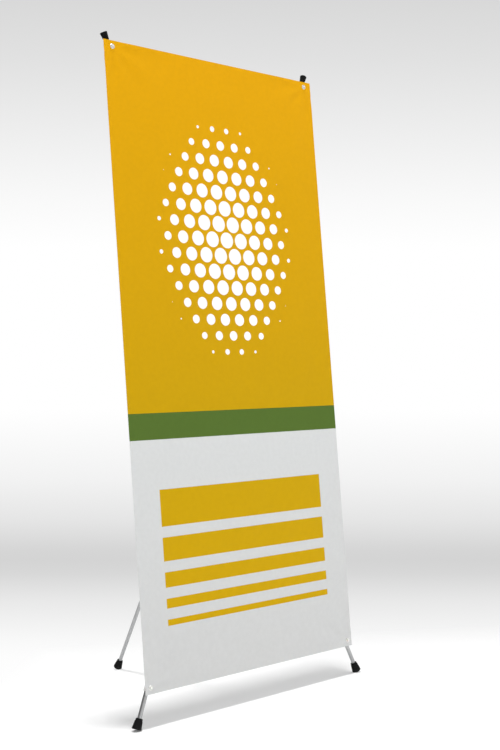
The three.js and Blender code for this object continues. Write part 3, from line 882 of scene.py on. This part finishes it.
def sheet_surface(look, width, height):
    """The sheet's middle surface, with its print's map in metres from the middle of its foot."""
    columns, rows = look.columns, look.rows
    across, up = np.meshgrid(
        np.linspace(-width / 2, width / 2, columns + 1), np.linspace(-height / 2, height / 2, rows + 1)
    )
    lift = sheet_lift(look, across, up, width, height)
    places = np.array(SHEET_MIDDLE) + sum(
        amount[..., None] * np.array(direction)
        for amount, direction in ((across, ACROSS), (up, SHEET_UP), (lift, SHEET_FRONT))
    )
    first = (np.arange(rows)[:, None] * (columns + 1) + np.arange(columns)).ravel()
    faces = np.stack([first, first + 1, first + columns + 2, first + columns + 1], axis=1)
    mesh = bpy.data.meshes.new("banner")
    mesh.from_pydata(places.reshape(-1, 3).tolist(), [], faces.tolist())
    layer = mesh.uv_layers.new(name="print")
    maps = np.stack([across.ravel(), up.ravel() + height / 2], axis=1)[faces.ravel()]
    layer.data.foreach_set("uv", maps.astype(np.float32).ravel())
    return mesh


def hole_cutter(look, radius):
    """Four short bars that punch the sheet's holes."""
    bar_length = 20 * MM
    shape = bmesh.new()
    for place in eyelet_places().values():
        bmesh.ops.create_cone(
            shape, cap_ends=True, segments=look.hole_facets, radius1=radius, radius2=radius,
            depth=bar_length, matrix=Axis("banner", place, SHEET_FRONT).matrix,
        )
    mesh = put_back(shape, bpy.data.meshes.new("hole cutter"))
    mesh.polygons.foreach_set("material_index", [1] * len(mesh.polygons))
    return new_piece("hole_cutter", mesh)


def make_sheet(look):
    sharp = math.radians(40)
    width, height, thickness = sheet_sizes()
    sheet = new_piece("banner", sheet_surface(look, width, height))
    sheet.data.materials.append(printed_vinyl(look, height))
    sheet.data.materials.append(bare_vinyl(look))
    sheet.data.shade_smooth()
    wall = sheet.modifiers.new("Thickness", "SOLIDIFY")
    wall.thickness = thickness
    wall.offset = 0
    wall.material_offset = 1
    wall.material_offset_rim = 1
    cut_out(sheet, hole_cutter(look, hole_radius()), "MANIFOLD")
    sheet.data.set_sharp_from_angle(angle=sharp)
    return sheet, (float(width), float(height))


def eyelet_outline(axis, seat):
    """Flange in front, barrel through the sheet and a rolled lip behind, as (radius, height)."""
    end_slice, lip_height, wall = 0.1 * MM, 0.5 * MM, 0.1 * MM
    rim_slope, front_slope = 0.4 * MM, 0.7 * MM
    back, front, rim, bore = axis.reach("eyelet_tl")
    _, lip = axis.radii_near("eyelet_tl", back, end_slice)
    barrel = (bore + lip) / 2 - wall
    lip_front = back + lip_height
    return [
        (bore, back), (lip, back), (lip, lip_front), (barrel, lip_front), (barrel, seat),
        (rim - rim_slope, seat), (rim, (seat + front) / 2), (rim - front_slope, front), (bore, front),
    ]


def make_eyelets(look):
    """Eyelets and their washers, each kind as copies at the four corners."""
    clearance, eyelet_edge, washer_edge = 0.05 * MM, 0.45 * MM, 0.15 * MM
    _, _, thickness = sheet_sizes()
    places = eyelet_places()
    axis = Axis("banner", places["tl"], SHEET_FRONT)
    nickel = drawn_metal("nickel plate", look.nickel, roughness=0.24, lines=False)
    back, front, rim, bore = axis.reach("eyelet_washer_tl")
    washer = [(bore, back), (rim, back), (rim, front), (bore, front)]
    outlines = {
        "eyelet": rounded(eyelet_outline(axis, thickness / 2 + clearance), eyelet_edge, steps=4),
        "eyelet_washer": rounded(washer, washer_edge),
    }
    pieces = []
    for kind, outline in outlines.items():
        source = new_piece(f"{kind}_source", turned_mesh(f"{kind} source", outline, look.facets))
        piece = copied(f"{kind}s", source, places.values(), SHEET_FRONT, nickel)
        fitted(piece, "banner", "nickel", nickel, *(f"{kind}_{corner}" for corner in CORNERS))
        pieces.append(piece)
    return pieces


# Arms and legs


def tube_outline(axis, node):
    near, far, outer, inner = axis.reach(node)
    return [(inner, near), (outer, near), (outer, far), (inner, far)]


def rod_outline(axis, node):
    near, far, outer, _ = axis.reach(node)
    return [(0, near), (outer, near), (outer, far), (0, far)]


def ferrule_outline(axis, side):
    """A sleeve with crimped grooves round it and a nose that closes in on the rod."""
    gap, nose, nose_wall = 0.15 * MM, 4 * MM, 1.1 * MM
    groove, half_mouth, half_floor = 0.45 * MM, 1.3 * MM, 0.6 * MM
    groove_shares = (0.16, 0.3, 0.62, 0.74)
    near, far, outer, _ = axis.reach(f"arm_ferrule_{side}")
    _, tube_end, tube_radius, _ = axis.reach(f"arm_tube_{side}")
    _, _, rod_radius, _ = axis.reach(f"arm_rod_{side}")
    outline = [(tube_radius + gap, near), (outer, near)]
    for share in groove_shares:
        middle = near + (far - near) * share
        outline += [
            (outer, middle - half_mouth), (outer - groove, middle - half_floor),
            (outer - groove, middle + half_floor), (outer, middle + half_mouth),
        ]
    outline += [
        (outer, far - nose), (rod_radius + nose_wall, far), (rod_radius + gap, far),
        (rod_radius + gap, tube_end + gap), (tube_radius + gap, tube_end + gap),
    ]
    return outline


def tip_outline(axis, node):
    """A tapered rubber cup: a rolled mouth, a cone and a domed end, as (radius, height)."""
    roll, roll_length, roll_fade = 0.2 * MM, 1.3 * MM, 0.6 * MM
    flare, flare_start, flare_end = 0.3 * MM, 2.4 * MM, 1.6 * MM
    edge, dome, sole = 1.6 * MM, 0.6 * MM, 6 * MM
    near, far, end, _ = axis.reach(node)
    hole, mouth = axis.radii_near(node, near, MOUTH_SPAN)
    lip = (mouth - hole) / 2
    rolled = mouth + roll
    roll_end = near + lip + roll_length
    return [
        (hole, near), (hole + lip, near), (rolled, near + lip), (rolled, roll_end),
        (mouth, roll_end + roll_fade), (end - flare, far - edge - flare_start),
        (end, far - edge - flare_end), (end, far - edge), (end - edge, far - dome / 2),
        (end / 2, far), (0, far), (0, far - sole), (hole, far - sole),
    ]


def tip_ribs(axis, node, look):
    """Where the grip ribs run on a foot or cap."""
    from_mouth, from_end, sunk = 6.5 * MM, 5.5 * MM, 0.3 * MM
    near, far, end, _ = axis.reach(node)
    _, mouth = axis.radii_near(node, near, MOUTH_SPAN)
    low, high = near + from_mouth, far - from_end
    slope = (end - mouth) / (far - near)
    return {
        "Count": look.rib_count, "Width": look.rib_width,
        "Near_radius": mouth + slope * (low - near) - sunk, "Near_height": low,
        "Far_radius": mouth + slope * (high - near) - sunk, "Far_height": high,
    }


def make_tip(axis, node, look, rubber, floor_cut=False):
    """A cap or a foot, with its grip ribs."""
    turned_piece(
        f"{node}_body", axis, tip_outline(axis, node), look, rubber, "black_rubber", node,
        ribs=tip_ribs(axis, node, look), floor_cut=floor_cut,
    )


def make_tubes(look):
    metal = drawn_metal("drawn aluminium", look.tube, roughness=0.3)
    runs = {f"arm_tube_{side}": axis for side, axis in ARMS.items()}
    runs.update({f"front_leg_tube_{side}": axis for side, axis in FRONT_LEGS.items()})
    runs["rear_leg_tube"] = REAR_LEG
    for node, axis in runs.items():
        turned_piece(f"{node}_body", axis, tube_outline(axis, node), look, metal, "silver_tube", node)


def make_arm_tops(look, plastic, rubber):
    """The rod, ferrule and end cap of each upper arm."""
    fibre = fibre_rod(look)
    for side, axis in ARMS.items():
        rod, ferrule = f"arm_rod_{side}", f"arm_ferrule_{side}"
        sleeve = ferrule_outline(axis, side)
        turned_piece(f"{rod}_body", axis, rod_outline(axis, rod), look, fibre, "glass_fibre", rod)
        turned_piece(f"{ferrule}_body", axis, sleeve, look, plastic, "black_plastic", ferrule)
        make_tip(axis, f"arm_cap_{side}", look, rubber)


def make_feet(look, rubber):
    feet = {f"front_foot_{side}": axis for side, axis in FRONT_LEGS.items()}
    feet["rear_foot"] = REAR_LEG
    for node, axis in feet.items():
        make_tip(axis, node, look, rubber, floor_cut=True)


def make_hinges(look, plastic):
    """Knuckles at the inner ends of the arms and legs, and the pins they turn on."""
    knuckles = {f"{kind}_knuckle_{side}": f"{kind}_{side}" for kind, side in FRONT_LIMBS}
    knuckles["rear_leg_knuckle"] = "rear_leg"
    for node, body in knuckles.items():
        softened(node, plastic, "black_plastic", body, look.soft_edge)
    steel = drawn_metal("bright steel", look.steel, roughness=0.3, lines=False)
    for kind, side in FRONT_LIMBS:
        NODES[f"{kind}_pin_{side}"].material_slots[0].material = steel


def make_hooks(look):
    nylon = clear_nylon(look)
    for corner, body in HOOK_BODIES.items():
        softened(f"hook_{corner}", nylon, "white_nylon", body, look.soft_edge)


# Hub


def dome_points(radius, foot, rise, turns, power=1.0):
    """Points up the side of a domed head, at the given angles above its foot."""
    return [
        (radius * math.cos(math.radians(t)) ** power, foot + rise * math.sin(math.radians(t)))
        for t in turns
    ]


def rivet_outline(axis):
    """A shank with a domed head at each end, as (radius, height)."""
    rise, shank_slice = 1.6 * MM, 1.2 * MM
    turns = range(15, 90, 15)
    near, far, head, _ = axis.reach("rear_leg_pin")
    foot = far - rise
    shank, _ = axis.radii_near("rear_leg_pin", foot, shank_slice)
    half = [(shank, foot), (head, foot), *dome_points(head, foot, rise, turns), (0, far)]
    return [(r, near + far - h) for r, h in reversed(half)] + half


def screw_source(axis, node):
    """A pan head screw along Z, with its crossed drive cut into the head."""
    shank, head_height, dome_power = 1.75 * MM, 2 * MM, 0.6
    arm_share, arm_width, drive_depth = 1.15, 1.0 * MM, 2.4 * MM
    turns, facets = range(20, 90, 14), 32
    tip, top, head, _ = axis.reach(node)
    seat = top - head_height
    outline = [
        (0, tip), (shank / 2, tip), (shank, tip + shank), (shank, seat), (head, seat),
        *dome_points(head, seat, head_height, turns, dome_power), (0, top),
    ]
    source = new_piece("screw_source", turned_mesh("screw source", outline, facets))
    shape = bmesh.new()
    arm = head * arm_share
    for size in ((arm, arm_width), (arm_width, arm)):
        matrix = Matrix.Translation((0, 0, top)) @ Matrix.Diagonal((*size, drive_depth, 1))
        bmesh.ops.create_cube(shape, size=1, matrix=matrix)
    cutter = new_piece("drive_cutter", put_back(shape, bpy.data.meshes.new("drive cutter")))
    cut_out(source, cutter, "EXACT")
    closed_outwards(source.data)
    return source


def make_hub(look, plastic):
    """Both shells, the rear leg's rivet and the screws that hold the shells together."""
    for node in ("hub_front_shell", "hub_rear_shell"):
        softened(node, plastic, "black_plastic", "hub", look.soft_edge)
    steel = drawn_metal("plated steel", look.steel, roughness=0.28, lines=False)
    pin = Axis("hub", middle_of("rear_leg_pin"), ACROSS)
    turned_piece("rear_rivet", pin, rivet_outline(pin), look, steel, "steel", "rear_leg_pin")
    nodes = [f"hub_screw_{place}" for place in ("left", "right", "top", "bottom")]
    backwards = -SHEET_FRONT
    source = screw_source(Axis("hub", middle_of(nodes[0]), backwards), nodes[0])
    screws = copied("hub_screws", source, map(middle_of, nodes), backwards, steel, spin=0.7, seed=4)
    fitted(screws, "hub", "steel", steel, *nodes)


# Stage


def wall_profile(look):
    """The floor's run away from the camera and its curve up into the wall, as (away, up)."""
    near, top, steps = -12.0, 7.0, 24
    far, radius = look.wall_start, look.wall_radius
    turns = [math.pi / 2 * step / steps for step in range(steps + 1)]
    curve = [(far + radius * math.sin(turn), radius - radius * math.cos(turn)) for turn in turns]
    return [(near, 0), *curve, (far + radius, top)]


def painted_shade_bands(recipe, rise):
    """Painted shade on the backdrop: its grey in level bands, from how far a place rises per metre from
    the eye.
    """
    stops = [
        (-0.234, 1.0), (-0.206, 0.98), (-0.192, 0.945), (-0.158, 0.81), (-0.135, 0.68), (-0.124, 0.655),
        (-0.115, 0.67), (-0.0905, 0.785), (-0.0565, 0.89), (-0.014, 0.97), (0.003, 1.0), (0.143, 1.0),
        (0.183, 0.95), (0.305, 0.755), (0.357, 0.69), (0.45, 0.69), (0.65, 1.0),
    ]
    low, high = -0.3, 0.7
    tone = recipe.add("ShaderNodeValToRGB", {0: recipe.ramp(rise, low, high, 0.0, 1.0)})
    while len(tone.color_ramp.elements) < len(stops):
        tone.color_ramp.elements.new(0.5)
    for element, (at, level) in zip(tone.color_ramp.elements, stops):
        element.position = (at - low) / (high - low)
        element.color = (level, level, level, 1)
    return tone.outputs[0]


def floor_material(look, eye):
    """Pale floor that keeps the shadow, and a glowing backdrop with soft bands of painted shade that shows
    from its front only.

    The bands are laid out so that they look level from the eye, a fixed place in front of the stand.
    """
    least_distance, fade_length = 1.0, 0.7
    paling_start, paling_end = 0.3, 0.8
    left_start, left_end = -0.2, -0.6
    round_start, round_end = 2.5, 6.0
    dark_start, dark_end = -1.6, -2.6
    recipe = Recipe("studio paper")
    turn = (0, 0, -look.turn[2])
    turned = recipe.out("ShaderNodeMapping", {"Vector": recipe.place, "Rotation": turn})
    side, away, up = recipe.split(turned)
    origin = Matrix.Rotation(-look.turn[2], 3, "Z") @ eye
    distance = recipe.math("MAXIMUM", recipe.math("SUBTRACT", away, origin.y), least_distance)
    aside = recipe.math("SUBTRACT", side, origin.x)
    tilt = recipe.math("MULTIPLY", aside, look.backdrop_slant)
    climb = recipe.math("ADD", recipe.math("SUBTRACT", up, origin.z), tilt)
    # Painted shade: the backdrop, and the floor as the camera sees it, take their grey from these level
    # bands
    tone = painted_shade_bands(recipe, recipe.math("DIVIDE", climb, distance))
    heading = recipe.math("ABSOLUTE", recipe.math("DIVIDE", aside, distance))
    paper = recipe.mix(recipe.ramp(heading, paling_start, paling_end, 0.0, 1.0), tone, WHITE)
    rays = recipe.add("ShaderNodeLightPath").outputs
    seen = recipe.math("MAXIMUM", rays["Is Camera Ray"], rays["Is Glossy Ray"])
    seen = recipe.math("MAXIMUM", seen, rays["Is Transmission Ray"])
    toned = recipe.mix(look.floor_seen, BLACK, paper)
    recipe.set(
        Base_Color=recipe.mix(seen, look.floor, toned), Roughness=0.9, Specular_IOR_Level=0.0,
        Normal=recipe.bump(recipe.noise(3 * MM, detail=3), depth=0.05 * MM),
    )
    fade_end = look.backdrop_near + fade_length
    behind = recipe.ramp(away, look.backdrop_near, fade_end, look.floor_glow, 1.0)
    left = recipe.ramp(side, left_start, left_end, look.floor_glow, 1.0)
    around = recipe.math("SQRT", recipe.squares(side, recipe.math("MINIMUM", away, 0.0)))
    plain = recipe.math("MAXIMUM", left, recipe.ramp(around, round_start, round_end, 0.0, 1.0))
    far = recipe.math("MULTIPLY", seen, recipe.math("MAXIMUM", behind, plain))
    # Painted reflection: to the camera's left the backdrop is darker in reflections only, which gives the
    # tubes their dark edge
    dark = recipe.ramp(side, dark_start, dark_end, 0.0, 1.0)
    dark = recipe.math("MULTIPLY", rays["Is Glossy Ray"], dark)
    shone = recipe.mix(dark, paper, times(WHITE, look.sky_dark))
    glow = recipe.out("ShaderNodeEmission", {"Color": shone})
    front = recipe.blend(recipe.math("MAXIMUM", far, dark), recipe.shader.outputs[0], glow)
    reverse = recipe.add("ShaderNodeNewGeometry").outputs["Backfacing"]
    one_sided = recipe.blend(reverse, front, recipe.out("ShaderNodeBsdfTransparent"))
    recipe.feed(one_sided, recipe.tree.nodes["Material Output"].inputs["Surface"])
    return recipe.material


def make_floor(look, eye):
    """One sheet of studio paper, square to the camera, that curves up behind the stand."""
    half_width = 12.0
    rows = wall_profile(look)
    turn = Matrix.Rotation(look.turn[2], 4, "Z")
    corners = [turn @ Vector((side * half_width, away, up)) for away, up in rows for side in (-1, 1)]
    faces = [(2 * i, 2 * i + 1, 2 * i + 3, 2 * i + 2) for i in range(len(rows) - 1)]
    mesh = bpy.data.meshes.new("floor")
    mesh.from_pydata(corners, [], faces)
    mesh.materials.append(floor_material(look, eye))
    mesh.shade_smooth()
    floor = new_piece("floor", mesh)


def make_sky(look):
    """Light from all round with a darker side, which metal reflects, and plain white as seen."""
    dark_side = (-0.8, 0.6, 0)
    side_start, side_end = 0.1, 0.85
    world = bpy.data.worlds.new("studio")
    world.use_nodes = True
    sky = Nodes(world.node_tree)
    heading = sky.add("ShaderNodeTexCoord").outputs["Generated"]
    towards = sky.add("ShaderNodeVectorMath", {0: heading, 1: dark_side}, operation="DOT_PRODUCT")
    dark = look.sky * look.sky_dark
    level = sky.ramp(towards.outputs["Value"], side_start, side_end, look.sky, dark)
    light = sky.tree.nodes["Background"]
    sky.feed(WHITE, light.inputs["Color"])
    sky.feed(level, light.inputs["Strength"])
    plain = sky.out("ShaderNodeBackground", {"Color": WHITE})
    rays = sky.add("ShaderNodeLightPath").outputs
    seen = sky.math("MAXIMUM", rays["Is Camera Ray"], rays["Is Transmission Ray"])
    joined = sky.blend(seen, light.outputs[0], plain)
    sky.feed(joined, sky.tree.nodes["World Output"].inputs["Surface"])
    bpy.context.scene.world = world


def make_lamp(name, place, aim, size, power):
    lamp = bpy.data.lights.new(name, "AREA")
    lamp.shape = "SQUARE"
    lamp.size = size
    lamp.energy = power
    holder = bpy.data.objects.new(name, lamp)
    holder.location = place
    holder.rotation_euler = (aim - place).to_track_quat("-Z", "Y").to_euler()
    bpy.context.scene.collection.objects.link(holder)


def make_camera(look):
    farthest = 60.0
    _, height, _ = sheet_sizes()
    foot = SHEET_MIDDLE - SHEET_UP * (height / 2)
    camera = bpy.data.objects.new("camera", bpy.data.cameras.new("camera"))
    camera.location = foot + Vector(look.place)
    camera.rotation_euler = look.turn
    camera.data.lens = look.lens
    camera.data.shift_x, camera.data.shift_y = look.shift
    camera.data.clip_end = farthest
    bpy.context.scene.collection.objects.link(camera)
    bpy.context.scene.camera = camera
    return camera


# Operators, panel and registration


def settings(context):
    return context.scene.banner_sheet, context.scene.banner_frame, context.scene.banner_stage


class BANNERSTAND_OT_frame(bpy.types.Operator):
    """Make the tubes, rods, hinges, hub, hooks, caps and feet"""

    bl_idname = "banner_stand.frame"
    bl_label = "Folding frame"

    def execute(self, context):
        _, look, _ = settings(context)
        plastic = moulded_plastic(look)
        rubber = grip_rubber(look)
        make_tubes(look)
        make_arm_tops(look, plastic, rubber)
        make_feet(look, rubber)
        make_hinges(look, plastic)
        make_hooks(look)
        make_hub(look, plastic)
        return {"FINISHED"}


class BANNERSTAND_OT_sheet(bpy.types.Operator):
    """Make the printed sheet, stretched between its four eyelets"""

    bl_idname = "banner_stand.sheet"
    bl_label = "Printed sheet"

    def execute(self, context):
        look, frame_look, _ = settings(context)
        sheet, flat = make_sheet(look)
        eyelets, washers = make_eyelets(frame_look)
        fitted(sheet, "banner", "printed_vinyl", None, "banner_sheet")
        return {"FINISHED"}


class BANNERSTAND_OT_stage(bpy.types.Operator):
    """Make the floor, the light and the camera"""

    bl_idname = "banner_stand.stage"
    bl_label = "Stage"

    def execute(self, context):
        _, _, look = settings(context)
        camera = make_camera(look)
        make_floor(look, camera.location)
        make_sky(look)
        middle = sum((Vector(corner) for corner in CAD_BOX), Vector()) / 2
        make_lamp("key", middle + Vector(look.key_place), middle, look.key_size, look.key)
        context.scene.view_settings.view_transform = "Standard"
        return {"FINISHED"}


class BANNERSTAND_PT_panel(bpy.types.Panel):
    """Lists the operators and their settings"""

    bl_idname = "BANNERSTAND_PT_panel"
    bl_label = "X banner stand"
    bl_space_type = "VIEW_3D"
    bl_region_type = "UI"
    bl_category = "Banner Stand"

    def draw(self, context):
        for operator, group in zip(OPERATORS, settings(context)):
            self.layout.operator(operator.bl_idname)
            for name in group.bl_rna.properties.keys():
                if name not in ("name", "rna_type"):
                    self.layout.prop(group, name)


OPERATORS = (BANNERSTAND_OT_sheet, BANNERSTAND_OT_frame, BANNERSTAND_OT_stage)
GROUPS = {
    "banner_sheet": SheetSettings, "banner_frame": FrameSettings, "banner_stage": StageSettings,
}


def register():
    for group in GROUPS.values():
        bpy.utils.register_class(group)
    for kind in (*OPERATORS, BANNERSTAND_PT_panel):
        bpy.utils.register_class(kind)
    for name, group in GROUPS.items():
        setattr(bpy.types.Scene, name, PointerProperty(type=group))


def unregister():
    for name in GROUPS:
        delattr(bpy.types.Scene, name)
    for kind in (*OPERATORS, BANNERSTAND_PT_panel, *GROUPS.values()):
        bpy.utils.unregister_class(kind)


def main():
    register()
    bpy.ops.banner_stand.frame()
    bpy.ops.banner_stand.sheet()
    bpy.ops.banner_stand.stage()


if __name__ == "__main__":
    main()
